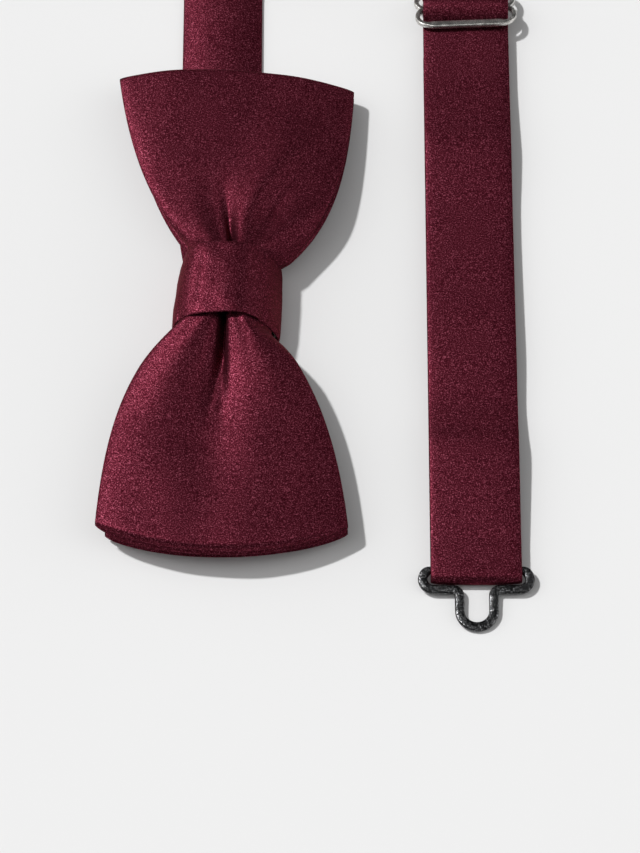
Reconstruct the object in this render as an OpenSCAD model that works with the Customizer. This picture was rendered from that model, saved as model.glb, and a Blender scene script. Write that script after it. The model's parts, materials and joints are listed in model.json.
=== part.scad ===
// Pre-tied bow tie: two gathered bow panels held by a knot band, on a neck strap that closes with a
// hook and eye and is lengthened by a slider. +X is right, +Y runs along the bow, +Z is up.
// The origin is the centre of the knot's flat underside, on the plane that the tie rests on.

/* [Bow] */
// Length of the bow along its centre line
bow_length = 124; // [110:1:132]
// Width of each wing at its end
bow_width = 55; // [50:1:60]
// Width of the gathered waist inside the knot
waist_width = 18.4; // [16:0.2:18.4]
// How fast a wing widens, as the distance over which it gains 63% of its width
flare = 17; // [12:1:24]
// How far the middle of each end stands out past its corners
end_bulge = 6; // [0:0.5:9]

/* [Knot] */
// Width of the knot across the bow
knot_width = 24; // [23.6:0.2:28]
// Length of the knot along the bow
knot_length = 18; // [14:1:22]
// Height of the knot above its flat underside
knot_height = 16.2; // [16.2:0.1:18]

/* [Strap] */
// Width of the strap where it lies flat
strap_width = 19.8; // [18:0.1:19.8]
// Width of the crowned stretch next to the bow
crowned_width = 18.4; // [17:0.2:18.4]
// Thickness of the pressed strap
strap_thickness = 1; // [0.9:0.05:1]
// Distance between the two parallel runs
run_spacing = 56.6; // [54:0.2:70]
// Where the turn at the back of the neck starts
turn_y = 106; // [106:1:140]

/* [Fittings] */
// Where the slider's middle bar lies
slider_y = 80; // [70:1:80]
// Where the eye's strap bar lies
eye_y = -64.7; // [-70:0.1:-60]
// Where the hook's strap bar lies
hook_y = -34; // [-35:1:-33]
// Thickness of the metal
metal_thickness = 1.2; // [1:0.05:1.2]

/* [Hidden] */

SATIN = [0.33, 0.11, 0.17];
INTERLINING = [0.86, 0.84, 0.79];
THREAD = [0.42, 0.15, 0.22];
NICKEL = [0.72, 0.73, 0.75];
GUNMETAL = [0.16, 0.16, 0.17];

ply_gap = 0.05;
satin_ply = 0.3;
far_past = 1;

// Bow panels
panel_sides = 20;
panel_steps = 15;
panel_turning_slit = [2.1, 13.3, 1.7];
waist_reach = knot_length / 2;
height_fall = 22;
thickness_fall = 9;
edge_power = 0.5;
end_reach = bow_length / 2 - end_bulge;
// A panel is [height at the waist, height at the ends, arch of the ends, rise of their right edge,
// half thickness at the waist, half thickness at the ends]
FRONT = [11, 6.1, 2.2, -1.4, 2.6, 1.2];
BACK = [5.6, 1.9, 4, 0.45, 2.5, 0.9];

// Knot
band_ply = 0.5;
band_wall = 1.4;
knot_top_radius = 7;
knot_bottom_radius = 2.5;
seam_x = -5;
seam_gap = 0.8;
thread_d = 0.45;
thread_gap = 0.3;
thread_top_radius = 3.55;
thread_bottom_radius = 3;
stitch_pitch = 2.4;

// Strap
half_strap = strap_thickness / 2;
flat_z = half_strap + ply_gap;
knot_strap_z = 2.05;
knot_strap_width = 16;
fold_radius = 1.25;
fold_slack = 1.7;
bar_z = flat_z + fold_radius;
upper_z = flat_z + 2 * fold_radius;
edge_round = 0.35;
wrap_slit = 0.8;
twist_length = 34;
left_x = -2.2;
right_x = left_x + run_spacing;
turn_radius = run_spacing / 2;
twist_start_y = turn_y - 22;
turn_rings = 56;
arc_rings = 8;
tail_length = 12;
strap_end_width = 16.8;
tack_inset = 3;
tail_z = flat_z + strap_thickness + 2 * ply_gap;
rise_y = 20;
rise_rings = 5;
upper_run_start_y = turn_y - 2;
slider_thread_start_y = slider_y + 12;
slider_thread_end_y = slider_y - 12;
eye_fold_start_y = eye_y + 6;

// Fittings
bar_d = 1.2;
slot_length = 21.2;
fitting_length = 25.4;
fitting_width = 6.8;
wire = 2.1;
eye_tilt = 4;
bulge_outer = 9.6;
bulge_inner = 5.2;
bulge_reach = 15.5;
slider_length = 23.8;
slider_pitch = 5;
slider_bar = 1.8;
slider_side = 1.1;
slider_tilt = 14;
slider_z = 3.5;
tongue_width = 4.4;
tongue_length = 7;
curl_radius = 0.65;
hook_metal = 0.8;
tack_height = 0.15;

// ---------------------------------------------------------------- shared functions

function ease(t) = let(c = max(0, min(1, t))) c * c * (3 - 2 * c);
function signed_power(v, p) = sign(v) * pow(abs(v), p);
function unit(v) = v / norm(v);
function arc(cx, cy, r, a0, a1, n) = [
    for (i = [0:n]) let(a = a0 + (a1 - a0) * i / n) [cx + r * cos(a), cy + r * sin(a)]
];

// Catmull-Rom curve through a short list of points, with n steps between each pair
function curve_point(p0, p1, p2, p3, t) =
    0.5 * (2 * p1 + (p2 - p0) * t + (2 * p0 - 5 * p1 + 4 * p2 - p3) * t * t
    + (3 * p1 - p0 - 3 * p2 + p3) * t * t * t);
function smooth(points, n) = let(last = len(points) - 1) [
    for (i = [0:last - 1], k = [0:n - 1])
        curve_point(points[max(0, i - 1)], points[i], points[i + 1], points[min(last, i + 2)], k / n),
    points[last]
];

// Closed skin over equal rings of points. cap lists the faces that close the first ring. Sides that
// are marked in flipped are split along their other diagonal, so that twisted plies stay parallel.
module loft(rings, cap, flipped = []) {
    n = len(rings[0]);
    last = len(rings) - 1;
    sides = [
        for (i = [0:last - 1], k = [0:n - 1])
            let(next = (k + 1) % n, here = i * n, there = (i + 1) * n)
            each flipped[k] == true
                ? split([there + k, there + next, here + next, here + k])
                : split([here + k, there + k, there + next, here + next])
    ];
    first_end = cap;
    last_end = [for (f = cap) [for (k = [len(f) - 1:-1:0]) last * n + f[k]]];
    polyhedron([for (r = rings) each r], concat(sides, first_end, last_end), convexity = 8);
}
function split(quad) = [[quad[0], quad[1], quad[2]], [quad[0], quad[2], quad[3]]];

// ---------------------------------------------------------------- bow panels

function half_width(d) =
    waist_width / 2 + (bow_width - waist_width) / 2 * (1 - exp(-max(0, d - waist_reach) / flare));
function half_thickness(p, d) = p[5] + (p[4] - p[5]) * exp(-max(0, d - waist_reach) / thickness_fall);
function wing_share(d) = ease((d - waist_reach) / (end_reach - waist_reach));
function panel_height(p, x, d) =
    let(across = x / half_width(d), share = wing_share(d))
    p[1] + (p[0] - p[1]) * exp(-max(0, d - waist_reach) / height_fall)
    + share * (p[2] * (1 - across * across) + p[3] * across);
function panel_ring(p, y, inset) =
    let(
        d = abs(y),
        w = half_width(d) - inset,
        h = half_thickness(p, d) - inset,
        out = end_bulge * sign(y) * pow(d / end_reach, 3)
    )
    [
        for (k = [0:panel_sides - 1])
            let(a = 360 * k / panel_sides, x = w * sin(a))
            [x, y + out * (1 - pow(x / w, 2)), panel_height(p, x, d) + h * signed_power(cos(a), edge_power)]
    ];
function panel_stations(reach) = [
    for (i = [-panel_steps:panel_steps]) reach * signed_power(i / panel_steps, 1.2)
];

// Each end is closed by strips that join the upper and lower points at the same place across
quarter = panel_sides / 4;
panel_cap = concat(
    [[3 * quarter, 3 * quarter + 1, 3 * quarter - 1], [quarter - 1, quarter, quarter + 1]],
    [
        for (k = [1 - quarter:quarter - 2])
            each split([
                (k + panel_sides) % panel_sides,
                (k + 1 + panel_sides) % panel_sides,
                2 * quarter - k - 1,
                2 * quarter - k
            ])
    ]
);

module panel_solid(p, inset) {
    loft([for (y = panel_stations(end_reach - inset)) panel_ring(p, y, inset)], panel_cap);
}

module bow_satin(p) {
    color(SATIN) difference() {
        panel_solid(p, 0);
        panel_solid(p, satin_ply);
        // The turning slit down the middle of the back, through which the panel is turned right side out
        translate([0, 0, p[0] - p[4]]) cube(panel_turning_slit, center = true);
    }
}

module bow_interlining(p) {
    color(INTERLINING) panel_solid(p, satin_ply + ply_gap);
}

// ---------------------------------------------------------------- knot

// Round-cornered outline in X and Z, from z0 to z1
module band_outline(w, z0, z1, r_bottom, r_top) {
    polygon(concat(
        arc(w / 2 - r_bottom, z0 + r_bottom, r_bottom, -90, 0, 5),
        arc(w / 2 - r_top, z1 - r_top, r_top, 0, 90, 8),
        arc(-w / 2 + r_top, z1 - r_top, r_top, 90, 180, 8),
        arc(-w / 2 + r_bottom, z0 + r_bottom, r_bottom, 180, 270, 5)
    ));
}

// A band that runs once round the waist, length long in Y, with its outside inset from the knot's surface
module band(inset, wall, length) {
    rotate([90, 0, 0]) linear_extrude(length, center = true) difference() {
        knot_outline(inset);
        knot_outline(inset + wall);
    }
}

module knot_outline(inset) {
    band_outline(knot_width - 2 * inset, inset, knot_height - inset,
        max(0.6, knot_bottom_radius - inset), knot_top_radius - inset);
}

module knot_band_satin() {
    color(SATIN) difference() {
        band(0, band_ply, knot_length);
        translate([seam_x - seam_gap / 2, -knot_length, -far_past])
            cube([seam_gap, 2 * knot_length, far_past + band_ply + ply_gap / 2]);
    }
}

module knot_band_interlining() {
    inner = band_ply + ply_gap;
    color(INTERLINING) band(inner, band_wall - inner, knot_length - 2);
}

// Ladder stitches across the seam of the knot band
module knot_closing_stitches() {
    color(THREAD)
        for (y = [-3 * stitch_pitch:stitch_pitch:3 * stitch_pitch])
            translate([seam_x, y, band_ply / 2]) rotate([0, 90, 0])
                cylinder(h = seam_gap, d = band_ply - 2 * ply_gap, center = true, $fn = 16);
}

// Three turns of thread that gather both panels
module waist_gathering_thread() {
    z0 = BACK[0] - BACK[4] - thread_d - ply_gap / 2;
    z1 = FRONT[0] + FRONT[4] + thread_d + ply_gap;
    w = waist_width + 2 * (thread_d + thread_gap);
    color(THREAD)
        for (y = [-1:1])
            translate([0, y, 0]) rotate([90, 0, 0]) linear_extrude(thread_d, center = true) difference() {
                band_outline(w, z0, z1, thread_bottom_radius, thread_top_radius);
                band_outline(w - 2 * thread_d, z0 + thread_d, z1 - thread_d,
                    thread_bottom_radius - thread_d, thread_top_radius - thread_d);
            }
}

// ---------------------------------------------------------------- strap

// Cross-section of the folded satin: a sleeve that is open along the middle of its back
function satin_section(w, t) =
    let(a = w / 2, b = t / 2, c = satin_ply, s = wrap_slit / 2, r = edge_round)
    [
        [s, -b], [a - r, -b], [a, 0], [a - r, b], [s, b],
        [-s, b], [-a + r, b], [-a, 0], [-a + r, -b], [-s, -b],
        [-s, c - b], [c + r - a, c - b], [c - a, 0], [c + r - a, b - c], [-s, b - c],
        [s, b - c], [a - c - r, b - c], [a - c, 0], [a - c - r, c - b], [s, c - b]
    ];
satin_cap = [for (k = [0:8]) each split([k, k + 1, 18 - k, 19 - k])];
function interlining_section(w, t) =
    let(a = w / 2 - satin_ply - edge_round - ply_gap, b = t / 2 - satin_ply - ply_gap, s = wrap_slit / 2)
    [[-a, -b], [-s, -b], [s, -b], [a, -b], [a, b], [s, b], [-s, b], [-a, b]];
interlining_cap = [for (k = [0:2]) each split([k, k + 1, 6 - k, 7 - k])];

// Marks the sides of a section that run towards +X
function rightward(section) = let(n = len(section)) [
    for (k = [0:n - 1]) section[(k + 1) % n][0] > section[k][0]
];

// A step of a route is [centre, direction of the strap's width, width]
function route_tangent(route, i) =
    unit(route[min(len(route) - 1, i + 1)][0] - route[max(0, i - 1)][0]);
function route_ring(route, i, section) =
    let(across = route[i][1], up = cross(across, route_tangent(route, i)))
    [for (p = section) route[i][0] + p[0] * across + p[1] * up];

module strap_satin(route) {
    sections = [for (step = route) satin_section(step[2], strap_thickness)];
    rings = [for (i = [0:len(route) - 1]) route_ring(route, i, sections[i])];
    color(SATIN) loft(rings, satin_cap, rightward(sections[0]));
}

module strap_interlining(route) {
    sections = [for (step = route) interlining_section(step[2], strap_thickness)];
    rings = [for (i = [0:len(route) - 1]) route_ring(route, i, sections[i])];
    color(INTERLINING) loft(rings, interlining_cap, rightward(sections[0]));
}

// A stretch that stays in an upright plane at x, through [y, z] points
function upright_route(x, points, across, w) = [for (p = points) [[x, p[0], p[1]], across, w]];

// The rest height of a strap that is rolled about its centre line, so that its lower edge stays down
function rolled_z(roll, w) = ply_gap + w / 2 * sin(roll) + half_strap * cos(roll);

// From the sewn tail, round the hook's bar
function hook_fold_route() = upright_route(left_x, concat(
    [
        [hook_y + tail_length, tail_z],
        [hook_y + tail_length - 2 * tack_inset, tail_z],
        [hook_y + 4, tail_z + 0.3],
        [hook_y + 1.2, upper_z]
    ],
    arc(hook_y - fold_slack, bar_z, fold_radius, 90, 270, arc_rings)
), [1, 0, 0], crowned_width);

// The share of the way up into the knot, and of the squeeze in it, at a distance from the knot's middle
function knot_share(d) = ease((rise_y - d) / (rise_y - waist_reach));

// Up through the knot, where the strap is squeezed narrower, and down on to the left run
function through_knot_route() = [
    for (side = [-1, 1], i = [0:rise_rings])
        let(
            step = side < 0 ? rise_rings - i : i,
            d = waist_reach + (rise_y - waist_reach) * step / rise_rings,
            share = knot_share(d)
        )
        [
            [left_x, side * d, flat_z + (knot_strap_z - flat_z) * share],
            [1, 0, 0],
            crowned_width + (knot_strap_width - crowned_width) * share
        ]
];
function left_run_route() = upright_route(left_x, [[rise_y * 2.5, flat_z]], [1, 0, 0], crowned_width);

// The strap rolls on to its edge, turns, and rolls flat again
function roll_at(s, total) = 90 * min(ease(s / twist_length), ease((total - s) / twist_length));
function turn_route() =
    let(lead = turn_y - twist_start_y, total = lead + 180 * turn_radius * PI / 180)
    [
        for (i = [0:turn_rings])
            let(
                s = total * i / turn_rings,
                a = max(0, (s - lead) / turn_radius * 180 / PI),
                roll = roll_at(s, total),
                w = crowned_width + (strap_width - crowned_width) * s / total,
                along = min(s, lead),
                right = [cos(a), -sin(a), 0]
            )
            [
                [
                    left_x + turn_radius * (1 - cos(a)),
                    twist_start_y + along + turn_radius * sin(a),
                    rolled_z(roll, w)
                ],
                right * cos(roll) + [0, 0, 1] * sin(roll),
                w
            ]
    ];
function neck_route() = concat(
    hook_fold_route(), through_knot_route(), left_run_route(), turn_route(),
    right_route([[upper_run_start_y, flat_z]])
);

function right_route(points) = upright_route(right_x, points, [-1, 0, 0], strap_width);
function upper_run_route() = right_route([[upper_run_start_y, flat_z], [slider_thread_start_y, flat_z]]);

// Under the slider's far bar, over its middle bar and under its near bar
function slider_thread_route() = right_route(smooth([
    [slider_thread_start_y, flat_z],
    [slider_y + 6, flat_z],
    [slider_y + 4.3, flat_z + 0.1],
    [slider_y + 3, slider_z - 1.1],
    [slider_y + 2.3, slider_z + 1.3],
    [slider_y, slider_z + 2.35],
    [slider_y - 2.3, slider_z + 1.4],
    [slider_y - 4.1, upper_z + 0.05],
    [slider_y - 7, upper_z],
    [slider_y - 10, upper_z],
    [slider_thread_end_y, upper_z]
], 3));
function standing_run_route() = right_route([[slider_thread_end_y, upper_z], [eye_fold_start_y, upper_z]]);
function eye_fold_route() = right_route(concat(
    [[eye_fold_start_y, upper_z]],
    arc(eye_y - fold_slack, bar_z, fold_radius, 90, 270, arc_rings),
    [[eye_fold_start_y, flat_z]]
));
function return_run_route() = right_route([[eye_fold_start_y, flat_z], [slider_thread_end_y, flat_z]]);

// The sewn end: it narrows, goes up round the slider's middle bar and comes back on to itself
function strap_end_route() = concat(
    right_route([[slider_thread_end_y, flat_z]]),
    upright_route(right_x, strap_end_points(), [-1, 0, 0], strap_end_width)
);
function strap_end_points() = concat(
    [
        [slider_y - 5, flat_z],
        [slider_y - 2.5, flat_z + 0.4],
        [slider_y - 1, slider_z - fold_radius - 0.5]
    ],
    arc(slider_y, slider_z, fold_radius, -90, 180, arc_rings + 4),
    [
        [slider_y - 1.8, slider_z - 0.95],
        [slider_y - 3.1, tail_z + 0.3],
        [slider_y - 4.5, tail_z + 0.05],
        [slider_thread_end_y, tail_z]
    ]
);

// A row of stitches across the strap, on the ply that ends there
module bar_tack(x, y, w, z) {
    stitches = 9;
    stitch = [1, 0.45, 0.25];
    color(THREAD)
        for (i = [0:stitches - 1])
            translate([x + (i / (stitches - 1) - 0.5) * (w - 4), y, z]) cube(stitch, center = true);
}

// ---------------------------------------------------------------- metal fittings

module stadium(length, width) {
    for (side = [-1, 1])
        translate([side * (length - width) / 2, 0]) circle(d = width, $fn = 48);
    square([length - width, width], center = true);
}

// Plate outline of a strap loop whose near side is at -y, with its strap bar cut out
module strap_loop_outline() {
    difference() {
        stadium(fitting_length, fitting_width);
        stadium(fitting_length - 2 * wire, fitting_width - 2 * wire);
        translate([-slot_length / 2, 0]) square([slot_length, fitting_width]);
    }
}

// The round bar that the strap folds over, along X through the origin
module strap_bar() {
    rotate([0, 90, 0]) cylinder(h = slot_length + 2 * far_past, d = bar_d, center = true, $fn = 32);
}

loop_shift = -(fitting_width - wire) / 2;

module eye() {
    color(GUNMETAL) translate([right_x, eye_y, bar_z]) rotate([eye_tilt, 0, 0]) {
        strap_bar();
        linear_extrude(metal_thickness, center = true) difference() {
            union() {
                translate([0, loop_shift]) strap_loop_outline();
                translate([0, loop_shift]) bulge_outline(bulge_outer);
            }
            translate([0, loop_shift]) bulge_outline(bulge_inner);
            translate([-bulge_inner / 2, -fitting_width + wire / 2]) square([bulge_inner, wire * 2]);
        }
    }
}

// The U that the hook drops into
module bulge_outline(w) {
    tip = -(bulge_reach - (bulge_outer - bulge_inner) / 2) + fitting_width / 2 + bulge_inner / 2;
    translate([0, tip]) circle(d = w, $fn = 48);
    translate([-w / 2, tip]) square([w, -tip - fitting_width / 2 + wire]);
}

module hook() {
    near = loop_shift - fitting_width / 2 + wire;
    curl_y = near - wire - tongue_length;
    color(GUNMETAL) translate([left_x, hook_y, bar_z]) {
        strap_bar();
        linear_extrude(hook_metal, center = true) {
            translate([0, loop_shift]) strap_loop_outline();
            translate([-tongue_width / 2, curl_y]) square([tongue_width, near - curl_y - wire / 2]);
        }
        // The tongue's end turns up and back over itself
        translate([0, curl_y, curl_radius + hook_metal / 2]) rotate([0, 0, 180]) rotate([0, 90, 0])
            rotate_extrude(angle = 180, $fn = 32) translate([curl_radius, -tongue_width / 2])
                square([hook_metal, tongue_width]);
        translate([-tongue_width / 2, curl_y, 2 * curl_radius + hook_metal / 2])
            cube([tongue_width, tongue_length - 2, hook_metal]);
    }
}

// A frame with flat near and far bars, and a round middle bar that the strap's end is sewn round
module slider() {
    end_ring = slider_pitch + slider_bar;
    end_x = (slider_length - end_ring) / 2;
    color(NICKEL) translate([right_x, slider_y, slider_z]) rotate([-slider_tilt, 0, 0]) {
        strap_bar();
        linear_extrude(metal_thickness, center = true) {
            for (k = [-1, 1])
                translate([0, k * slider_pitch]) square([2 * end_x, slider_bar], center = true);
            for (side = [-1, 1], k = [-0.5, 0.5])
                translate([side * end_x, k * slider_pitch]) half_ring(end_ring, side);
        }
    }
}

// Half a ring that joins two neighbouring bars at one end of the slider
module half_ring(d, side) {
    intersection() {
        difference() {
            circle(d = d, $fn = 40);
            circle(d = d - 2 * slider_side, $fn = 40);
        }
        translate([side * d / 2, 0]) square([d, 2 * d], center = true);
    }
}

// ---------------------------------------------------------------- nodes

bow_satin(FRONT);  // front_bow_satin
bow_interlining(FRONT);  // front_bow_interlining
bow_satin(BACK);  // back_bow_satin
bow_interlining(BACK);  // back_bow_interlining
waist_gathering_thread();
knot_band_satin();
knot_band_interlining();
knot_closing_stitches();
strap_satin(neck_route());  // neck_strap_satin
strap_interlining(neck_route());  // neck_strap_interlining
hook();
bar_tack(left_x, hook_y + tail_length - tack_inset, crowned_width, tail_z + half_strap + tack_height);  // hook_bar_tack
strap_satin(upper_run_route());  // upper_run_satin
strap_interlining(upper_run_route());  // upper_run_interlining
slider();
strap_satin(slider_thread_route());  // slider_thread_satin
strap_interlining(slider_thread_route());  // slider_thread_interlining
strap_satin(strap_end_route());  // strap_end_satin
strap_interlining(strap_end_route());  // strap_end_interlining
bar_tack(right_x, slider_thread_end_y + tack_inset, strap_width, tail_z + half_strap + tack_height);  // slider_bar_tack
strap_satin(standing_run_route());  // standing_run_satin
strap_interlining(standing_run_route());  // standing_run_interlining
strap_satin(return_run_route());  // return_run_satin
strap_interlining(return_run_route());  // return_run_interlining
strap_satin(eye_fold_route());  // eye_fold_satin
strap_interlining(eye_fold_route());  // eye_fold_interlining
eye();
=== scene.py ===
"""Looks of a pre-tied satin bow tie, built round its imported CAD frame.

Lengths are in millimetres until a mesh is written, in the part's own frame: +X right, +Y along the
bow, +Z up.
"""
import json
import math

import bpy
import numpy as np
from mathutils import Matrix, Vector


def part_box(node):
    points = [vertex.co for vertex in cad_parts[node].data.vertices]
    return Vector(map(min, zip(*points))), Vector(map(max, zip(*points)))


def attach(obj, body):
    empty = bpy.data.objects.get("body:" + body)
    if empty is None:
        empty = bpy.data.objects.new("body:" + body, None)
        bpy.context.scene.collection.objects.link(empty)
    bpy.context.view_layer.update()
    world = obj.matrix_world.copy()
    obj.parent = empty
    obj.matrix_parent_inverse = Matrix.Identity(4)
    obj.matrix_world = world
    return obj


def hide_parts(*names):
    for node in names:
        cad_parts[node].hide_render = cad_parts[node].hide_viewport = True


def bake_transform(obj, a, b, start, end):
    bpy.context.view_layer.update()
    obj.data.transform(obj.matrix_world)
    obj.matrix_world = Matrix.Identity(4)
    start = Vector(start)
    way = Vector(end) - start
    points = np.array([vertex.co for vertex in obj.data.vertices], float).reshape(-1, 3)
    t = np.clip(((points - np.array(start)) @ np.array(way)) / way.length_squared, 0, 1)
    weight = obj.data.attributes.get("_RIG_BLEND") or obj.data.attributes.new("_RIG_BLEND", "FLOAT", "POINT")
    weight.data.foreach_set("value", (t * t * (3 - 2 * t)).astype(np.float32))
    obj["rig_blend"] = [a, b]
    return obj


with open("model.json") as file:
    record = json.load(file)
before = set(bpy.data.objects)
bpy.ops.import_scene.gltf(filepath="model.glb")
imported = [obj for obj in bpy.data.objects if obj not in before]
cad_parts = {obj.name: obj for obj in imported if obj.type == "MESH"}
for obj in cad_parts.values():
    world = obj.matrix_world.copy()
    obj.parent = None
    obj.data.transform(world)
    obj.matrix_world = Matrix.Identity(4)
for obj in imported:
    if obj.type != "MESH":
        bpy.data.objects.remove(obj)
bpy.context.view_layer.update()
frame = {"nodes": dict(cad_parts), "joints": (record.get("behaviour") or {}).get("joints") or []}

MM = 0.001
ROOT = "bow_and_neck_strap"


# ---------------------------------------------------------------- places, from the frame

def box_mm(node):
    low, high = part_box(node)
    return np.array(low) / MM, np.array(high) / MM


joints = {j["name"]: j for j in frame["joints"]}
HOOK_BAR = np.array(joints["hook_swing"]["pos_m"]) / MM
EYE_BAR = np.array(joints["eye_swing"]["pos_m"]) / MM
SLIDER_LOW, SLIDER_HIGH = box_mm("slider")
SLIDER_BAR = (SLIDER_LOW + SLIDER_HIGH) / 2
KNOT_LOW, KNOT_HIGH = box_mm("knot_band_satin")
LEFT_X, RIGHT_X = HOOK_BAR[0], EYE_BAR[0]
UPPER_START_Y = box_mm("upper_run_satin")[1][1]
TURN_Y = UPPER_START_Y + 2.0
SLIDER_THREAD_LOW, SLIDER_THREAD_HIGH = box_mm("slider_thread_satin")
THREAD_START_Y, THREAD_END_Y = SLIDER_THREAD_HIGH[1], SLIDER_THREAD_LOW[1]
FOLD_START_Y = box_mm("eye_fold_satin")[1][1]
STRAP_WIDTH = 19.8
CROWNED_WIDTH = 18.4  # where the strap is domed, it covers less
STRAP_THICKNESS = 1.0
RIGHT_ACROSS = (-1.0, 0.0, 0.0)
PLY_GAP = 0.05
FLAT_Z = STRAP_THICKNESS / 2 + PLY_GAP
FOLD_RADIUS = EYE_BAR[2] - FLAT_Z
FOLD_SLACK = 1.7  # how far a fold reaches past the bar in it
UPPER_Z = FLAT_Z + 2 * FOLD_RADIUS


# ---------------------------------------------------------------- shared shapes

def ease(t):
    c = np.clip(t, 0, 1)
    return c * c * (3 - 2 * c)


def signed_power(v, p):
    return np.sign(v) * np.abs(v) ** p


def bell(v, centre, spread):
    return np.exp(-((v - centre) / spread) ** 2)


def arc(centre, radius, start, stop, steps):
    """Points on an arc in a plane, with the angles in degrees."""
    a = np.radians(np.linspace(start, stop, steps + 1))
    return [(centre[0] + radius * math.cos(t), centre[1] + radius * math.sin(t)) for t in a]


def smooth(points, steps):
    """Catmull-Rom curve through a short list of points."""
    p = np.array(points, float)
    padded = np.vstack([2 * p[0] - p[1], p, 2 * p[-1] - p[-2]])
    out = []
    for i in range(len(p) - 1):
        a, b, c, d = padded[i:i + 4]
        for t in np.arange(steps) / steps:
            out.append(0.5 * (2 * b + (c - a) * t + (2 * a - 5 * b + 4 * c - d) * t ** 2
                              + (3 * b - a - 3 * c + d) * t ** 3))
    out.append(p[-1])
    return np.array(out)


def add_mesh(name, points, faces, material, flat_faces=0):
    """A smooth mesh object from points in millimetres. The last flat_faces faces are flat."""
    mesh = bpy.data.meshes.new(name)
    mesh.from_pydata((np.asarray(points) * MM).tolist(), [], faces)
    mesh.update()
    mesh.materials.append(material)
    smooth_count = len(faces) - flat_faces
    for polygon in mesh.polygons:
        polygon.use_smooth = polygon.index < smooth_count
    sharp = {key for polygon in mesh.polygons[smooth_count:] for key in polygon.edge_keys}
    for edge in mesh.edges:
        edge.use_edge_sharp = edge.key in sharp
    obj = bpy.data.objects.new(name, mesh)
    bpy.context.scene.collection.objects.link(obj)
    return obj


def ring_faces(start, count, sides, closed=False):
    """Quads between rings of points, the first point being number start."""
    faces = []
    for i in range(count if closed else count - 1):
        here, there = start + i * sides, start + (i + 1) % count * sides
        for k in range(sides):
            nxt = (k + 1) % sides
            faces.append((here + k, here + nxt, there + nxt, there + k))
    return faces


def end_faces(start, count, sides):
    """The flat faces that close the first ring and the last."""
    last = start + (count - 1) * sides
    return [tuple(reversed(range(start, start + sides))), tuple(range(last, last + sides))]


def sides_of(path):
    """Unit directions across a closed path in a plane."""
    along = np.roll(path, -1, axis=0) - np.roll(path, 1, axis=0)
    along /= np.linalg.norm(along, axis=1)[:, None]
    return np.stack([along[:, 1], -along[:, 0]], 1)


def skin(name, rings, material, closed=False, cap=None):
    """Quads over equal rings of points, joined end to end where closed, or else capped.

    cap lists the faces that close the first ring with a soft edge. Without it the ends are flat and sharp.
    """
    rings = np.asarray(rings)
    count, sides = rings.shape[:2]
    faces = ring_faces(0, count, sides, closed)
    flat_faces = []
    if cap:
        faces += [tuple(reversed(f)) for f in cap]
        faces += [tuple((count - 1) * sides + k for k in f) for f in cap]
    elif not closed:
        flat_faces = end_faces(0, count, sides)
    return add_mesh(name, rings.reshape(-1, 3), faces + flat_faces, material, len(flat_faces))


def sweep(centres, across, section, closed=False):
    """Rings of a section carried along centres. section gives one (across, up) outline for each step."""
    centres = np.asarray(centres, float)
    before = np.roll(centres, 1, axis=0)
    after = np.roll(centres, -1, axis=0)
    if not closed:
        before[0] = centres[0]
        after[-1] = centres[-1]
    along = after - before
    along /= np.linalg.norm(along, axis=1)[:, None]
    across = np.broadcast_to(np.asarray(across, float), centres.shape)
    up = np.cross(across, along)
    up /= np.linalg.norm(up, axis=1)[:, None]
    rings = []
    for i in range(len(centres)):
        outline = section(i)
        rings.append(centres[i] + outline[:, :1] * across[i] + outline[:, 1:] * up[i])
    return np.array(rings)


def finish_piece(obj, body, slot_name, *nodes):
    """Rides a piece on its body, unless it is blended later, and hides the CAD parts that it replaces."""
    if body:
        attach(obj, body)
    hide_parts(*nodes)
    return obj


# ---------------------------------------------------------------- materials

def new_material(name):
    material = bpy.data.materials.new(name)
    material.use_nodes = True
    nodes = material.node_tree.nodes
    return material, nodes, material.node_tree.links, nodes["Principled BSDF"]


def noise(nodes, links, scale, detail, roughness, stretch=(1, 1, 1)):
    coords = nodes.new("ShaderNodeTexCoord")
    mapping = nodes.new("ShaderNodeMapping")
    mapping.inputs["Scale"].default_value = stretch
    texture = nodes.new("ShaderNodeTexNoise")
    texture.inputs["Scale"].default_value = scale
    texture.inputs["Detail"].default_value = detail
    texture.inputs["Roughness"].default_value = roughness
    links.new(coords.outputs["Object"], mapping.inputs["Vector"])
    links.new(mapping.outputs["Vector"], texture.inputs["Vector"])
    return texture.outputs["Fac"]


def ramp(nodes, links, factor, stops):
    node = nodes.new("ShaderNodeValToRGB")
    while len(node.color_ramp.elements) < len(stops):
        node.color_ramp.elements.new(0.5)
    for element, (place, colour) in zip(node.color_ramp.elements, stops):
        element.position = place
        element.color = (*colour, 1)
    links.new(factor, node.inputs["Fac"])
    return node.outputs["Color"]


def mix(nodes, links, factor, a, b, kind="MIX"):
    node = nodes.new("ShaderNodeMix")
    node.data_type = "RGBA"
    node.blend_type = kind
    # The node has its inputs for every data type in one row, and those for colours come at 0, 6 and 7
    for socket, value in ((node.inputs[0], factor), (node.inputs[6], a), (node.inputs[7], b)):
        if isinstance(value, (int, float)):
            socket.default_value = value
        elif isinstance(value, tuple):
            socket.default_value = (*value, 1)
        else:
            links.new(value, socket)
    return node.outputs[2]


def remap(nodes, links, value, low, high):
    node = nodes.new("ShaderNodeMapRange")
    node.inputs["To Min"].default_value = low
    node.inputs["To Max"].default_value = high
    links.new(value, node.inputs["Value"])
    return node.outputs["Result"]


def bump(nodes, links, height, strength, distance_mm, normal=None):
    node = nodes.new("ShaderNodeBump")
    node.inputs["Strength"].default_value = strength
    node.inputs["Distance"].default_value = distance_mm * MM
    links.new(height, node.inputs["Height"])
    if normal is not None:
        links.new(normal, node.inputs["Normal"])
    return node.outputs["Normal"]


GRAIN_SCALE = 3600
SLUB_SCALE = 700
CLOUD_SCALE = 60


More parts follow.
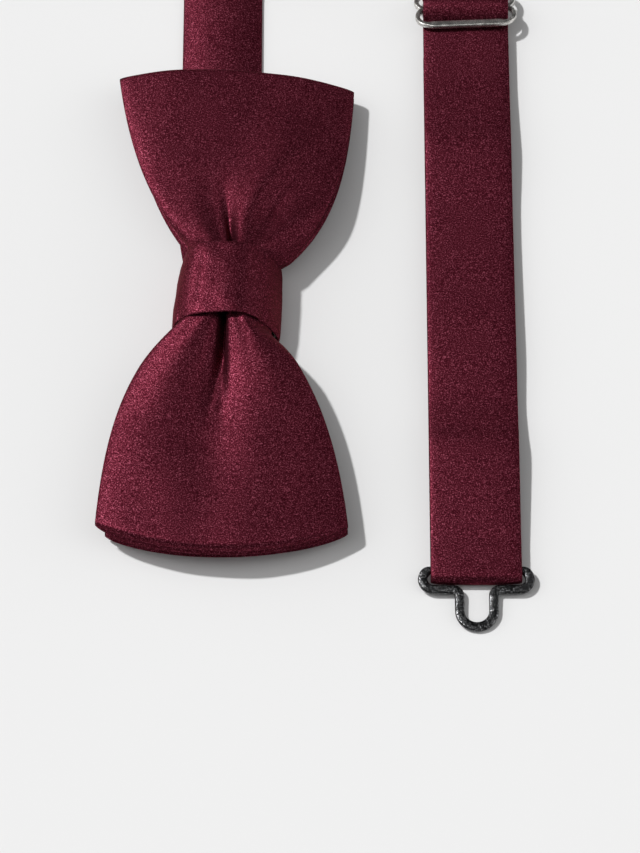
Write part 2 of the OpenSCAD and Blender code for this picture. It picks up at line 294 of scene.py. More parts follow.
def satin():
    """Burgundy satin: a dark ground with glints of yarn, and a wide red shine towards the light."""
    material, nodes, links, shader = new_material("burgundy_satin")
    grain = noise(nodes, links, GRAIN_SCALE, 2, 0.7)
    slub = noise(nodes, links, SLUB_SCALE, 2, 0.5, (1, 0.35, 1))
    cloud = noise(nodes, links, CLOUD_SCALE, 2, 0.5)
    yarn = ramp(nodes, links, grain, [
        (0.36, (0.0280, 0.0022, 0.0050)),
        (0.48, (0.0680, 0.0080, 0.0158)),
        (0.58, (0.1300, 0.0195, 0.0345)),
        (0.70, (0.4000, 0.0980, 0.1480)),
    ])
    patches = ramp(nodes, links, cloud, [(0.35, (0.86, 0.84, 0.86)), (0.7, (1.0, 1.0, 1.0))])
    links.new(mix(nodes, links, 1.0, yarn, patches, "MULTIPLY"), shader.inputs["Base Color"])
    links.new(remap(nodes, links, grain, 0.60, 0.46), shader.inputs["Roughness"])
    fine = bump(nodes, links, grain, 0.45, 0.05)
    links.new(bump(nodes, links, slub, 0.2, 0.05, fine), shader.inputs["Normal"])
    shader.inputs["Metallic"].default_value = 0.8
    shader.inputs["Specular IOR Level"].default_value = 0.3
    shader.inputs["Specular Tint"].default_value = (0.6, 0.12, 0.18, 1)
    shader.inputs["Sheen Weight"].default_value = 0.02
    shader.inputs["Sheen Roughness"].default_value = 0.4
    shader.inputs["Sheen Tint"].default_value = (1.0, 0.3, 0.4, 1)
    return material


def woven(name, light, dark, scale, roughness=0.85):
    """Plain cloth or thread, with crossed yarns."""
    material, nodes, links, shader = new_material(name)
    warp = noise(nodes, links, scale, 2, 0.5, (1, 0.12, 1))
    weft = noise(nodes, links, scale, 2, 0.5, (0.12, 1, 1))
    weave = mix(nodes, links, 0.5, warp, weft)
    links.new(ramp(nodes, links, weave, [(0.35, dark), (0.65, light)]), shader.inputs["Base Color"])
    links.new(bump(nodes, links, weave, 0.5, 0.08), shader.inputs["Normal"])
    shader.inputs["Roughness"].default_value = roughness
    shader.inputs["Sheen Weight"].default_value = 0.2
    return material


PIT_SCALE = 3000
TONE_SCALE = 700


def plated(name, ground, fleck, fleck_level, low_roughness, high_roughness):
    """Plated metal, slightly rough, with bright flecks where its grain is above fleck_level."""
    material, nodes, links, shader = new_material(name)
    pits = noise(nodes, links, PIT_SCALE, 3, 0.8)
    tone = noise(nodes, links, TONE_SCALE, 2, 0.5)
    flecks = ramp(nodes, links, pits, [(fleck_level - 0.03, ground), (fleck_level + 0.05, fleck)])
    shade = ramp(nodes, links, tone, [(0.3, (0.5, 0.5, 0.5)), (0.65, (1, 1, 1))])
    links.new(mix(nodes, links, 1.0, flecks, shade, "MULTIPLY"), shader.inputs["Base Color"])
    links.new(remap(nodes, links, tone, low_roughness, high_roughness), shader.inputs["Roughness"])
    links.new(bump(nodes, links, pits, 0.6, 0.12), shader.inputs["Normal"])
    shader.inputs["Metallic"].default_value = 0.9
    return material


SATIN = satin()
INTERLINING = woven("interlining_cloth", (0.72, 0.69, 0.62), (0.48, 0.45, 0.39), 1800)
THREAD = woven("burgundy_thread", (0.17, 0.03, 0.055), (0.06, 0.008, 0.016), 4000, 0.6)
GUNMETAL = plated("gunmetal", (0.013, 0.013, 0.014), (0.50, 0.50, 0.51), 0.565, 0.18, 0.32)
BRIGHT_NICKEL = plated("bright_nickel", (0.62, 0.60, 0.57), (0.90, 0.88, 0.85), 0.5, 0.16, 0.26)


# ---------------------------------------------------------------- bow panels

BOW_LAY = 0.012  # the bow lies turned by this slope against the strap
KNOT_SHIFT = 0.7  # how far the knot sits along the bow from its middle
NEAR_BULGE, FAR_BULGE = 6.0, 2.7  # how far the ends' middles stand out past their corners
FAR_SLANT = 0.9  # how far the far end is askew
WAIST_HALF = 8.7
WAIST_SPAN, FLARE_LENGTH = 6.5, 2.6  # the waist keeps its width this far, and then flares over this length
ARCH_HALF = 9.9  # half width of the knot's arch
# How far past the knot the panels keep that arch, and how far on the near right and the far left
ARCH_REACH, ARCH_REACH_SHORT = 18.0, 11.0
# How each side of each wing widens: half width at the knot, gain, distance where it starts, and spread
NEAR_LEFT, NEAR_RIGHT = (11.4, 17.3, 8.6, 17.0), (9.8, 20.4, 9.5, 24.0)
FAR_LEFT, FAR_RIGHT = (9.3, 21.3, 12.0, 28.0), (12.4, 16.2, 8.6, 16.5)
WAIST_REACH = (KNOT_HIGH[1] - KNOT_LOW[1]) / 2
END_REACH = box_mm("front_bow_satin")[1][1] - NEAR_BULGE
# Each panel: its height at the waist and at the ends, how far its middle arches up and its right side lifts
# on the near wing and the far one, half its thickness at the waist and the ends, and how far its left edge
# lies inside the wing's outline
FRONT = {
    "waist": 11.0, "ends": 6.1,
    "arch": (1.9, 1.1), "right": (-0.7, -1.4),
    "half": (2.6, 1.2), "left_inset": 0,
}
BACK = {
    "waist": 5.6, "ends": 1.9,
    "arch": (4.0, 3.4), "right": (0.45, 0.2),
    "half": (2.5, 0.9), "left_inset": 1.9,
}
THINNING, FALL = 9, 22  # distances from the knot over which a panel's thickness and height fall off
THINNEST = 0.14


def side_width(side, y):
    start, gain, where, spread = side
    wing = start + gain * (1 - np.exp(-np.maximum(0, np.abs(y) - where) / spread))
    flare = ease((np.abs(y - KNOT_SHIFT) - WAIST_SPAN) / FLARE_LENGTH)
    return WAIST_HALF + (wing - WAIST_HALF) * flare


def half_width(u, y):
    """Half width of the panels at y along them, on the side of the centre line that u is on."""
    near, far = (NEAR_LEFT, FAR_LEFT) if u < 0 else (NEAR_RIGHT, FAR_RIGHT)
    return np.where(y < 0, side_width(near, y), side_width(far, y))


def half_thickness(panel, d):
    waist, ends = panel["half"]
    return np.maximum(THINNEST, ends + (waist - ends) * np.exp(-np.maximum(0, d - WAIST_REACH) / THINNING))


def panel_height(panel, u, y):
    """Height of the panel's middle. arch and right are given for the near wing, then for the far one."""
    d = np.abs(y)
    share = ease((d - WAIST_REACH) / (END_REACH - WAIST_REACH))
    fall = np.exp(-np.maximum(0, d - WAIST_REACH) / FALL)
    arch, right = (np.where(y < 0, *panel[key]) for key in ("arch", "right"))
    level = panel["ends"] + (panel["waist"] - panel["ends"]) * fall
    return level + share * (arch * (1 - u * u) + right * u)


def tuck(x, place, depth, left, right):
    """A crease with a gentle left flank and a steep right one, or the other way round."""
    return -depth * np.where(x < place, bell(x, place, left), bell(x, place, right))


def near_creases(x, u, d):
    """The near wing: a deep slit at the knot between two lobes, that opens into a soft valley."""
    run = np.maximum(0, d - WAIST_REACH)
    slit = tuck(x, -0.5 - 0.02 * run, 4.2 * bell(run, 0, 12), 1.0 + 0.10 * run, 0.35 + 0.05 * run)
    fork = tuck(x, -1.5 - 0.22 * np.maximum(run - 9, 0), 1.1 * bell(run, 13, 5), 1.6, 0.8)
    valley = -1.1 * bell(run, 22, 17) * bell(x, -3.0 - 0.05 * run, 6.5)
    lobes = 1.2 * bell(run, 4, 14) * (0.7 * bell(u, -0.55, 0.33) + bell(u, 0.42, 0.32))
    return slit + fork + valley + lobes


def far_creases(x, u, d):
    """The far wing: a short slit, and a ridge that runs up to the right with a hollow beside it."""
    run = np.maximum(0, d - WAIST_REACH)
    slit = tuck(x, 0.8 - 0.10 * run, 4.0 * bell(run, 0, 10), 0.5 + 0.05 * run, 0.8 + 0.08 * run)
    ridge_x = 1.8 + 0.10 * run + 0.011 * run ** 2
    ridge = 2.8 * bell(run, 20, 16) * np.where(
        x < ridge_x, bell(x, ridge_x, 3.4 + 0.2 * run), bell(x, ridge_x, 3.0 + 0.1 * run))
    hollow = -1.8 * bell(run, 11, 8) * bell(x, ridge_x + 4.6, 3.0)
    lobes = 1.0 * bell(run, 3, 11) * (bell(u, -0.5, 0.33) + bell(u, 0.5, 0.33))
    return slit + ridge + hollow + lobes


def gathers(x, y, d):
    """Small folds that fan out from the knot, and the cloth's own slight unevenness."""
    fan = np.degrees(np.arctan2(x, np.maximum(d - 1, 1)))
    folds = 0.16 * np.exp(-np.maximum(0, d - WAIST_REACH) / 14) * np.sin(fan * 0.31 + np.sign(y) * 1.3)
    swell = 0.10 * np.sin(x * 0.33 + y * 0.11) * np.sin(y * 0.21 - x * 0.12 + 0.8)
    return folds + swell


PANEL_STEPS, ROLL_STEPS, PANEL_ACROSS = 130, 9, 110
LIP_POINTS = 3
ROLL_OUT, ROLL_DOWN = 0.62, 0.8  # how far an end's roll reaches out and down, as shares of its height


def end_roll(corner, foot, way, lip):
    """Rolls the cloth over an end, from the top's last point to a small lip above the underside's first."""
    x, y, z = corner
    drop = z - foot[2]
    roll = [
        (x, y + way * ROLL_OUT * drop * math.sin(t), z - ROLL_DOWN * drop * (1 - math.cos(t)))
        for t in np.linspace(0, math.pi / 2, ROLL_STEPS + 1)[1:]
    ]
    rim = y + way * (ROLL_OUT * drop + lip)
    return roll + [
        (x, rim, foot[2] + 0.13 * drop),
        (x, rim + way * 0.08, foot[2] + 0.06 * drop),
        (x, rim - way * 0.1, foot[2]),
    ]


TOP_ROOM = 0.5  # how far the cloth may rise over the knot's arch once it is past the band
UNDER_ROOM = 0.8  # how far the underside stays below that arch
LEAST_CLOTH = 0.15


def panel_faces(panel, u, x, y, creased):
    """Heights of the top and the underside along the panel, at u across."""
    d = np.abs(y)
    edge = max(0.12, max(0.0, 1 - abs(u) ** 5) ** 0.5)
    half = half_thickness(panel, d) * edge
    middle = panel_height(panel, u, y)
    swell = gathers(x, y, d)
    if not creased:
        return middle + half + 0.35 * swell, middle - half
    creases = np.where(y < 0, near_creases(x, u, d), far_creases(x, u, d))
    past = np.abs(y - KNOT_SHIFT) - WAIST_REACH
    arch = knot_ceiling(x * ARCH_HALF / np.maximum(half_width(u, y), ARCH_HALF))
    arch = arch + TOP_ROOM * ease(past + 1.4)
    squeezed = 1 - ease((past + 0.8) / np.where(y * u < 0, ARCH_REACH_SHORT, ARCH_REACH))
    top = middle + half + (creases + swell) * edge
    top = top - np.maximum(0, top - arch) * squeezed
    bottom = middle - half
    bottom = bottom - np.maximum(0, bottom - arch + UNDER_ROOM) * squeezed
    return np.maximum(top, bottom + LEAST_CLOTH), bottom


def panel_loop(panel, u, creased, inset, lip):
    """One closed loop round the panel at u across: top, near end, underside, far end."""
    y0 = (END_REACH - inset) * signed_power(np.linspace(1, -1, PANEL_STEPS), 1.15)
    d0 = np.abs(y0)
    x = u * (half_width(u, y0) - (panel["left_inset"] * ease(d0 / 50) if u < 0 else 0))
    bulge = np.where(y0 < 0, -NEAR_BULGE * (1 - u * u), FAR_BULGE * (1 - u * u) - FAR_SLANT * u)
    y = y0 + bulge * (d0 / END_REACH) ** 3
    top, bottom = panel_faces(panel, u, x, y0, creased)
    middle = (top + bottom) / 2
    top = np.maximum(top - inset, middle + 0.04)
    bottom = np.minimum(bottom + inset, middle - 0.04)
    x = x - inset * u + BOW_LAY * y
    upper = np.stack([x, y, top], 1)
    lower = np.stack([x, y, bottom], 1)[::-1]
    near = end_roll(upper[-1], lower[0], -1, lip)
    far = end_roll(upper[0], lower[-1], 1, lip)[::-1]
    return np.vstack([upper, near, lower, far])


def panel_cap():
    """Strips that join the top and underside of the panel's two side edges."""
    rolled = ROLL_STEPS + LIP_POINTS
    sides = 2 * (PANEL_STEPS + rolled)
    mirror = 2 * PANEL_STEPS + rolled - 1
    spare = rolled // 2
    return [
        (k % sides, (k + 1) % sides, (mirror - k - 1) % sides, (mirror - k) % sides)
        for k in range(-spare, PANEL_STEPS + spare - 1)
    ]


def make_panel(name, panel, material, creased, inset=0.0, lip=0.45):
    """A panel whose loops lie closer together towards its two side edges."""
    t = np.linspace(-1, 1, PANEL_ACROSS)
    u = np.sin(math.pi / 2 * (0.55 * t + 0.45 * t ** 3))
    loops = [panel_loop(panel, v, creased, inset, lip) for v in u]
    return skin(name, loops, material, cap=panel_cap())


PANEL_INSET = 0.55  # how far a panel's lining lies inside it


def make_bow():
    for side, panel in (("front", FRONT), ("back", BACK)):
        outer = make_panel(f"{side}_bow_panel", panel, SATIN, side == "front")
        finish_piece(outer, ROOT, "satin", f"{side}_bow_satin")
        inner = make_panel(f"{side}_bow_lining", panel, INTERLINING, side == "front", PANEL_INSET, 0.0)
        finish_piece(inner, ROOT, "interlining", f"{side}_bow_interlining")


# ---------------------------------------------------------------- knot

KNOT_MIDDLE = np.array([0, 7.5])
KNOT_SKEW = 0.8


def knot_outline(inset):
    """Outline of the knot in X and Z: flat below, upright on the left, with a sloping right shoulder."""
    points = [
        (0, 0.15), (-8.5, 0.15), (-11.0, 1.3), (-11.9, 4.5), (-11.5, 8.8), (-10.3, 12.4), (-8.4, 14.7),
        (-6.0, 15.8), (-2.8, 16.3), (0.6, 16.5), (3.8, 15.9), (6.8, 13.6), (9.5, 10.2), (11.3, 6.4),
        (12.0, 3.6), (11.2, 1.1), (8.5, 0.15),
    ]
    outline = smooth(points + points[:1], 8)[:-1]
    from_middle = outline - KNOT_MIDDLE
    return KNOT_MIDDLE + from_middle * (1 - inset / np.linalg.norm(from_middle, axis=1)[:, None])


def knot_ceiling(x):
    """Height under the knot band at x."""
    outline = knot_outline(1.5)
    upper = outline[outline[:, 1] > 4]
    order = np.argsort(upper[:, 0])
    return np.interp(x, upper[order, 0], upper[order, 1])


BAND_POINTS = 48


def band_rings(outline, half_length, thickness, crown):
    """A flat band with soft folded edges, carried round the outline and skewed a little along the bow."""
    a = np.linspace(0, 2 * math.pi, BAND_POINTS, endpoint=False)
    along = half_length * signed_power(np.cos(a), 0.45)
    place = along / half_length
    flatness = 1 - place ** 2
    raised = thickness / 2 * signed_power(np.sin(a), 0.6) + crown * (flatness - 1)
    outward = sides_of(outline)
    outward *= np.sign(np.sum(outward * (outline - KNOT_MIDDLE), axis=1))[:, None]
    rings = []
    for point, out in zip(outline, outward):
        upper = ease(point[1] / 8)
        crease = 0.35 * bell(point[0], -7.0, 1.0) * upper + 0.2 * bell(point[0], 6.4, 1.6) * upper
        ripple = 0.06 * np.sin(along * 0.9 + point[0] * 0.7) * upper
        lift = raised - crease * flatness + ripple
        x = point[0] * (1 - 0.03 * place * upper) + KNOT_SKEW * place * upper + out[0] * lift
        z = point[1] + out[1] * lift
        if point[1] > 12:
            z = z + 0.5 * place * np.clip(-point[0] / 6, -1, 1)
        rings.append(np.stack([x, along + KNOT_SHIFT * upper, np.maximum(z, 0.02)], 1))
    return rings


THREAD_RADIUS, THREAD_SIDES = 0.22, 8
STRAP_CLEAR_Z = 2.75  # the thread's turns stay above the strap that runs through the knot


def make_waist_thread():
    """Three turns of thread round the gathered panels, inside the knot."""
    path = knot_outline(2.4)
    path[:, 1] = np.maximum(path[:, 1], STRAP_CLEAR_Z)
    points, faces = [], []
    for y in (-1, 0, 1):
        faces += ring_faces(len(points), len(path), THREAD_SIDES, True)
        for point in path:
            out = (point - KNOT_MIDDLE) / np.linalg.norm(point - KNOT_MIDDLE)
            for a in np.linspace(0, 2 * math.pi, THREAD_SIDES, endpoint=False):
                x, z = point + out * THREAD_RADIUS * math.cos(a)
                points.append((x, y + THREAD_RADIUS * math.sin(a), z))
    thread = add_mesh("waist_thread", points, faces, THREAD)
    finish_piece(thread, ROOT, "sewing_thread", "waist_gathering_thread")


BAND_CROWN = 0.2


def make_knot():
    half_length = (KNOT_HIGH[1] - KNOT_LOW[1]) / 2
    outer = band_rings(knot_outline(0.5), half_length, 1.0, BAND_CROWN)
    band = skin("knot_band", outer, SATIN, closed=True)
    finish_piece(band, ROOT, "satin", "knot_band_satin")
    inner = band_rings(knot_outline(1.3), half_length - 1, 0.4, BAND_CROWN)
    lining = skin("knot_band_lining", inner, INTERLINING, closed=True)
    finish_piece(lining, ROOT, "interlining", "knot_band_interlining")


# ---------------------------------------------------------------- strap

def strap_outline(width, thickness, crown, count=44):
    """Cross-section of the strap: folded edges, and a top that is domed by crown."""
    a = np.linspace(0, 2 * math.pi, count, endpoint=False)
    x = width / 2 * signed_power(np.cos(a), 0.55)
    z = thickness / 2 * signed_power(np.sin(a), 0.55)
    dome = crown * (1 - (2 * x / width) ** 2) * (np.sin(a) > 0)
    return np.stack([x, z + dome], 1)


def rolled_z(roll, width):
    return PLY_GAP + width / 2 * np.sin(roll) + STRAP_THICKNESS / 2 * np.cos(roll)


KNOT_STRAP_Z = 2.05
KNOT_STRAP_WIDTH = 16.0
RISE_Y = 20.0  # where the strap starts to rise towards the knot
TAIL_Z = FLAT_Z + STRAP_THICKNESS + 2 * PLY_GAP
TAIL_LENGTH = 12.0
TWIST_LENGTH = 34.0
TWIST_START_Y = TURN_Y - 22
STRAP_END_WIDTH = 16.8
TURN_RADIUS = (RIGHT_X - LEFT_X) / 2
FLAT_CROWN, FULL_CROWN = 0.12, 1.3
LINING_INSET, LINING_THICKNESS = 1.4, 0.3


def left_points():
    """Y and Z from the hook's fold, through the knot and along the left run."""
    y, z = HOOK_BAR[1], HOOK_BAR[2]
    fold = y - FOLD_SLACK
    t = np.linspace(0, 1, 12)
    rise = [(-RISE_Y + (RISE_Y - WAIST_REACH) * s, FLAT_Z + (KNOT_STRAP_Z - FLAT_Z) * ease(s)) for s in t]
    fall = [(-q[0], q[1]) for q in reversed(rise)]
    tail = smooth([(y + TAIL_LENGTH, TAIL_Z), (y + TAIL_LENGTH / 2, TAIL_Z), (y + 4, TAIL_Z + 0.3),
                   (y + 1.2, UPPER_Z), (fold, UPPER_Z)], 5)
    straight = [(v, FLAT_Z) for v in np.linspace(RISE_Y, TWIST_START_Y, 18)[1:-1]]
    return [tuple(p) for p in tail[:-1]] + arc((fold, z), FOLD_RADIUS, 90, 270, 14) + rise + fall + straight


def neck_route():
    """Centres, directions across and widths of the whole neck strap, to where the upper run takes over."""
    centres = [(LEFT_X, y, z) for y, z in left_points()]
    across = [(1.0, 0.0, 0.0)] * len(centres)
    squeeze = [ease((RISE_Y - abs(y)) / (RISE_Y - WAIST_REACH)) for _, y, _ in centres]
    widths = [CROWNED_WIDTH + (KNOT_STRAP_WIDTH - CROWNED_WIDTH) * q for q in squeeze]
    lead = TURN_Y - TWIST_START_Y
    total = lead + math.pi * TURN_RADIUS
    for s in np.linspace(0, total, 90):
        a = max(0.0, (s - lead) / TURN_RADIUS)
        roll = math.pi / 2 * min(ease(s / TWIST_LENGTH), ease((total - s) / TWIST_LENGTH))
        width = CROWNED_WIDTH + (STRAP_WIDTH - CROWNED_WIDTH) * s / total
        right = np.array([math.cos(a), -math.sin(a), 0])
        centres.append((
            LEFT_X + TURN_RADIUS * (1 - math.cos(a)),
            TWIST_START_Y + min(s, lead) + TURN_RADIUS * math.sin(a),
            rolled_z(roll, width),
        ))
        across.append(tuple(right * math.cos(roll) + np.array([0, 0, math.sin(roll)])))
        widths.append(width)
    centres.append((RIGHT_X, UPPER_START_Y, FLAT_Z))
    across.append(RIGHT_ACROSS)
    widths.append(STRAP_WIDTH)
    return np.array(centres), np.array(across), np.array(widths)


def make_strap(name, body, centres, across, widths, crowns, held="laid", rests_on=()):
    """One stretch of strap and the interlining in it. body is None for a stretch that is blended later."""
    widths = np.broadcast_to(widths, len(centres))
    crowns = np.broadcast_to(crowns, len(centres))

    def satin_section(i):
        return strap_outline(widths[i], STRAP_THICKNESS, crowns[i])

    def lining_section(i):
        return strap_outline(widths[i] - LINING_INSET, LINING_THICKNESS, 0.6 * crowns[i], 20)

    outer = skin(name, sweep(centres, across, satin_section), SATIN)
    inner = skin(f"{name}_lining", sweep(centres, across, lining_section), INTERLINING)
    finish_piece(outer, body, "satin", f"{name}_satin")
    finish_piece(inner, body, "interlining", f"{name}_interlining")
    return outer, inner


def right_route(points):
    return np.array([(RIGHT_X, y, z) for y, z in points])


def make_neck_strap():
    centres, across, widths = neck_route()
    y = centres[:, 1]
    on_left_run = centres[:, 0] < LEFT_X + 1
    crowned = np.where(on_left_run, ease((y - 16) / 14) * (1 - ease((y - TWIST_START_Y) / 20)), 0)
    crowns = FULL_CROWN * crowned + FLAT_CROWN * ease((y - HOOK_BAR[1] - 4) / 8)
    make_strap("neck_strap", ROOT, centres, across, widths, crowns)


def spread_evenly(piece, start_y, end_y):
    """The smooth ones fold the run back past its own ends when the slider is near the eye.
    """
    share = piece.data.attributes.get("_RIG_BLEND")
    if share is None:
        return
    y = np.array([v.co.y for v in piece.data.vertices]) / MM
    share.data.foreach_set("value", np.clip((y - start_y) / (end_y - start_y), 0, 1).astype(np.float32))


def make_right_runs():
    """The strap from the turn, through the slider, down to the eye and back to its sewn end."""
    upper = right_route([(y, FLAT_Z) for y in np.linspace(UPPER_START_Y, THREAD_START_Y, 24)])
    for piece in make_strap("upper_run", None, upper, RIGHT_ACROSS, STRAP_WIDTH, FLAT_CROWN):
        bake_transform(piece, ROOT, "slider", start=(0, UPPER_START_Y * MM, 0), end=(0, THREAD_START_Y * MM, 0))

    y, z = SLIDER_BAR[1], SLIDER_BAR[2]
    thread = right_route(smooth([
        (THREAD_START_Y, FLAT_Z), (y + 6, FLAT_Z), (y + 4.3, FLAT_Z + 0.1), (y + 3, z - 1.1),
        (y + 2.3, z + 1.3), (y, z + 2.35), (y - 2.3, z + 1.4), (y - 4.1, UPPER_Z + 0.05), (y - 7, UPPER_Z),
        (y - 10, UPPER_Z), (THREAD_END_Y, UPPER_Z),
    ], 8))
    on_slider = ("folded", ["slider_frame"])
    make_strap("slider_thread", "slider", thread, RIGHT_ACROSS, STRAP_WIDTH, FLAT_CROWN, *on_slider)

    end = right_route(
        [(THREAD_END_Y, FLAT_Z), (y - 5, FLAT_Z), (y - 2.5, FLAT_Z + 0.4), (y - 1, z - FOLD_RADIUS - 0.5)]
        + arc((y, z), FOLD_RADIUS, -90, 180, 20)
        + [(y - 1.8, z - 0.95), (y - 3.1, TAIL_Z + 0.3), (y - 4.5, TAIL_Z + 0.05), (THREAD_END_Y, TAIL_Z)])
    widths = np.full(len(end), STRAP_END_WIDTH)
    widths[0] = STRAP_WIDTH
    make_strap("strap_end", "slider", end, RIGHT_ACROSS, widths, 0.0, *on_slider)

    waves = smooth([
        (THREAD_END_Y, UPPER_Z), (THREAD_END_Y - 2, UPPER_Z), (59, 3.1), (50, 3.6), (43, 4.0), (35, 3.6),
        (28, 3.1), (18, 3.0), (4, 3.25), (-10, 3.55), (-18, 3.3), (-24, 3.15), (-30, 3.7), (-36, 4.4),
        (-47, 3.8), (FOLD_START_Y + 2, UPPER_Z + 0.08), (FOLD_START_Y, UPPER_Z),
    ], 12)
    standing = make_strap("standing_run", None, right_route(waves), RIGHT_ACROSS, STRAP_WIDTH, FLAT_CROWN)
    level = right_route([(v, FLAT_Z) for v in np.linspace(FOLD_START_Y, THREAD_END_Y, 90)])
    returning = make_strap("return_run", None, level, RIGHT_ACROSS, STRAP_WIDTH, 0.0)
    start, end = (0, THREAD_END_Y * MM, 0), (0, FOLD_START_Y * MM, 0)
    for piece in standing + returning:
        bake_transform(piece, "slider", "eye_fold", start=start, end=end)
        spread_evenly(piece, THREAD_END_Y, FOLD_START_Y)

    y, z = EYE_BAR[1] - FOLD_SLACK, EYE_BAR[2]
    fold = right_route(
        [(v, UPPER_Z) for v in np.linspace(FOLD_START_Y, y, 8)[:-1]]
        + arc((y, z), FOLD_RADIUS, 90, 270, 20)
        + [(v, FLAT_Z) for v in np.linspace(y, FOLD_START_Y, 8)[1:]])
    make_strap("eye_fold", "eye_fold", fold, RIGHT_ACROSS, STRAP_WIDTH, FLAT_CROWN, "folded", ["eye_ring"])


# ---------------------------------------------------------------- metal

WIRE = 2.1  # width of the flat wire, which is METAL thick
METAL = 1.2
WIRE_STEP = 0.3  # between the rings along a wire
LOOP_RADIUS = 2.35
LOOP_X = 9.3
NEAR_BAR_Y = -2 * LOOP_RADIUS
BAR_HALF = 11.0  # half the length of a bar that is round in section
LEG_X = 3.7
LEG_FILLET = 1.5
U_CENTRE = -9.65
CURL_RADIUS = 1.05
TONGUE_WIDTH, TONGUE_THICKNESS = 4.4, 0.8
EYE_TILT = math.radians(4)


def wire_section(width, height, count=20, roundness=0.7):
    a = np.linspace(0, 2 * math.pi, count, endpoint=False)
    return np.stack([
        width / 2 * signed_power(np.cos(a), roundness), height / 2 * signed_power(np.sin(a), roundness)], 1)


def resample(points, step):
    """Even steps along a closed path."""
    p = np.vstack([points, points[:1]])
    lengths = np.r_[0, np.cumsum(np.linalg.norm(np.diff(p, axis=0), axis=1))]
    at = np.linspace(0, lengths[-1], int(lengths[-1] / step), endpoint=False)
    return np.stack([np.interp(at, lengths, p[:, k]) for k in range(2)], 1)


def closed_wire(name, path, origin, material, tilt=0.0):
    """A flat ring of wire round a closed path in X and Y, round in section under the strap."""
    path = resample(np.array(path), WIRE_STEP)
    rings = []
    for point, out in zip(path, sides_of(path)):
        on_bar = ease((BAR_HALF - abs(point[0])) / 1.5) * ease((point[1] + 1.2) / 0.8)
        outline = wire_section(WIRE + (METAL - WIRE) * on_bar, METAL)
        flat = point + outline[:, :1] * out
        z = outline[:, 1] + math.tan(tilt) * flat[:, 1]
        rings.append(np.stack([flat[:, 0], flat[:, 1], z], 1) + origin)
    return skin(name, rings, material, closed=True)


def loop_path(near_side):
    """A strap loop: far bar, left end, the near side as given, right end."""
    return (
        [(LOOP_X, 0), (0, 0), (-LOOP_X, 0)]
        + arc((-LOOP_X, -LOOP_RADIUS), LOOP_RADIUS, 90, 270, 16)
        + near_side
        + arc((LOOP_X, -LOOP_RADIUS), LOOP_RADIUS, -90, 90, 16)
    )


def make_eye():
    """A strap loop whose near side bulges out in a U."""
    near = NEAR_BAR_Y - LEG_FILLET
    bulge = (
        arc((-LEG_X - LEG_FILLET, near), LEG_FILLET, 90, 0, 8)
        + arc((0, U_CENTRE), LEG_X, 180, 360, 24)
        + arc((LEG_X + LEG_FILLET, near), LEG_FILLET, 180, 90, 8)
    )
    ring = closed_wire("eye_ring", loop_path(bulge), EYE_BAR, GUNMETAL, EYE_TILT)
    finish_piece(ring, "eye", "gunmetal", "eye")


def make_hook():
    """A strap loop like the eye's, with a flat tongue whose end turns back over itself."""
    loop = closed_wire("hook_loop", loop_path([(0, NEAR_BAR_Y)]), HOOK_BAR, GUNMETAL)
    finish_piece(loop, "hook", "gunmetal", "hook")
    tongue_end = box_mm("hook")[0][1] - HOOK_BAR[1] + CURL_RADIUS + TONGUE_THICKNESS / 2
    profile = smooth([(NEAR_BAR_Y, 0.0), (NEAR_BAR_Y - 3, 0.0), (tongue_end, 0.0)], 6)[:-1].tolist()
    profile += arc((tongue_end, CURL_RADIUS), CURL_RADIUS, 270, 90, 14)
    profile += [(tongue_end + reach, 2 * CURL_RADIUS) for reach in (2.5, 5)]
    centres = np.array([(0, y, z) for y, z in profile]) + HOOK_BAR
    outline = wire_section(TONGUE_WIDTH, TONGUE_THICKNESS, 24)
    tongue = skin("hook_tongue", sweep(centres, (1, 0, 0), lambda i: outline), GUNMETAL)
    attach(tongue, "hook")


SLIDER_TILT = math.radians(14)
SLIDER_TURN = math.radians(2.5)
SLIDER_PITCH = 5.0  # between the centres of the round ends of its two windows
SLIDER_END_RADIUS = 2.75
SLIDER_WAIST_ANGLE = 62  # how far round each end goes before it meets the next, in degrees
SLIDER_WIRE_HALF, SLIDER_BAR_GAIN = 0.55, 0.4  # half width at the ends, and what the straight bars add


def slider_ring(points, half_widths):
    """A closed strip of flat metal that follows points, tilted and turned as the slider lies."""
    rings = []
    for point, out, half in zip(points, sides_of(points), half_widths):
        outline = wire_section(2 * half, METAL, 24, 0.5)
        rings.append(lay_slider(point + outline[:, :1] * out, outline[:, 1]))
    return rings


def lay_slider(flat, z):
    x, y = flat[:, 0], flat[:, 1] * math.cos(SLIDER_TILT) + z * math.sin(SLIDER_TILT)
    up = z * math.cos(SLIDER_TILT) - flat[:, 1] * math.sin(SLIDER_TILT)
    c, t = math.cos(SLIDER_TURN), math.sin(SLIDER_TURN)
    return np.stack([x * c - y * t, x * t + y * c, up], 1) + SLIDER_BAR


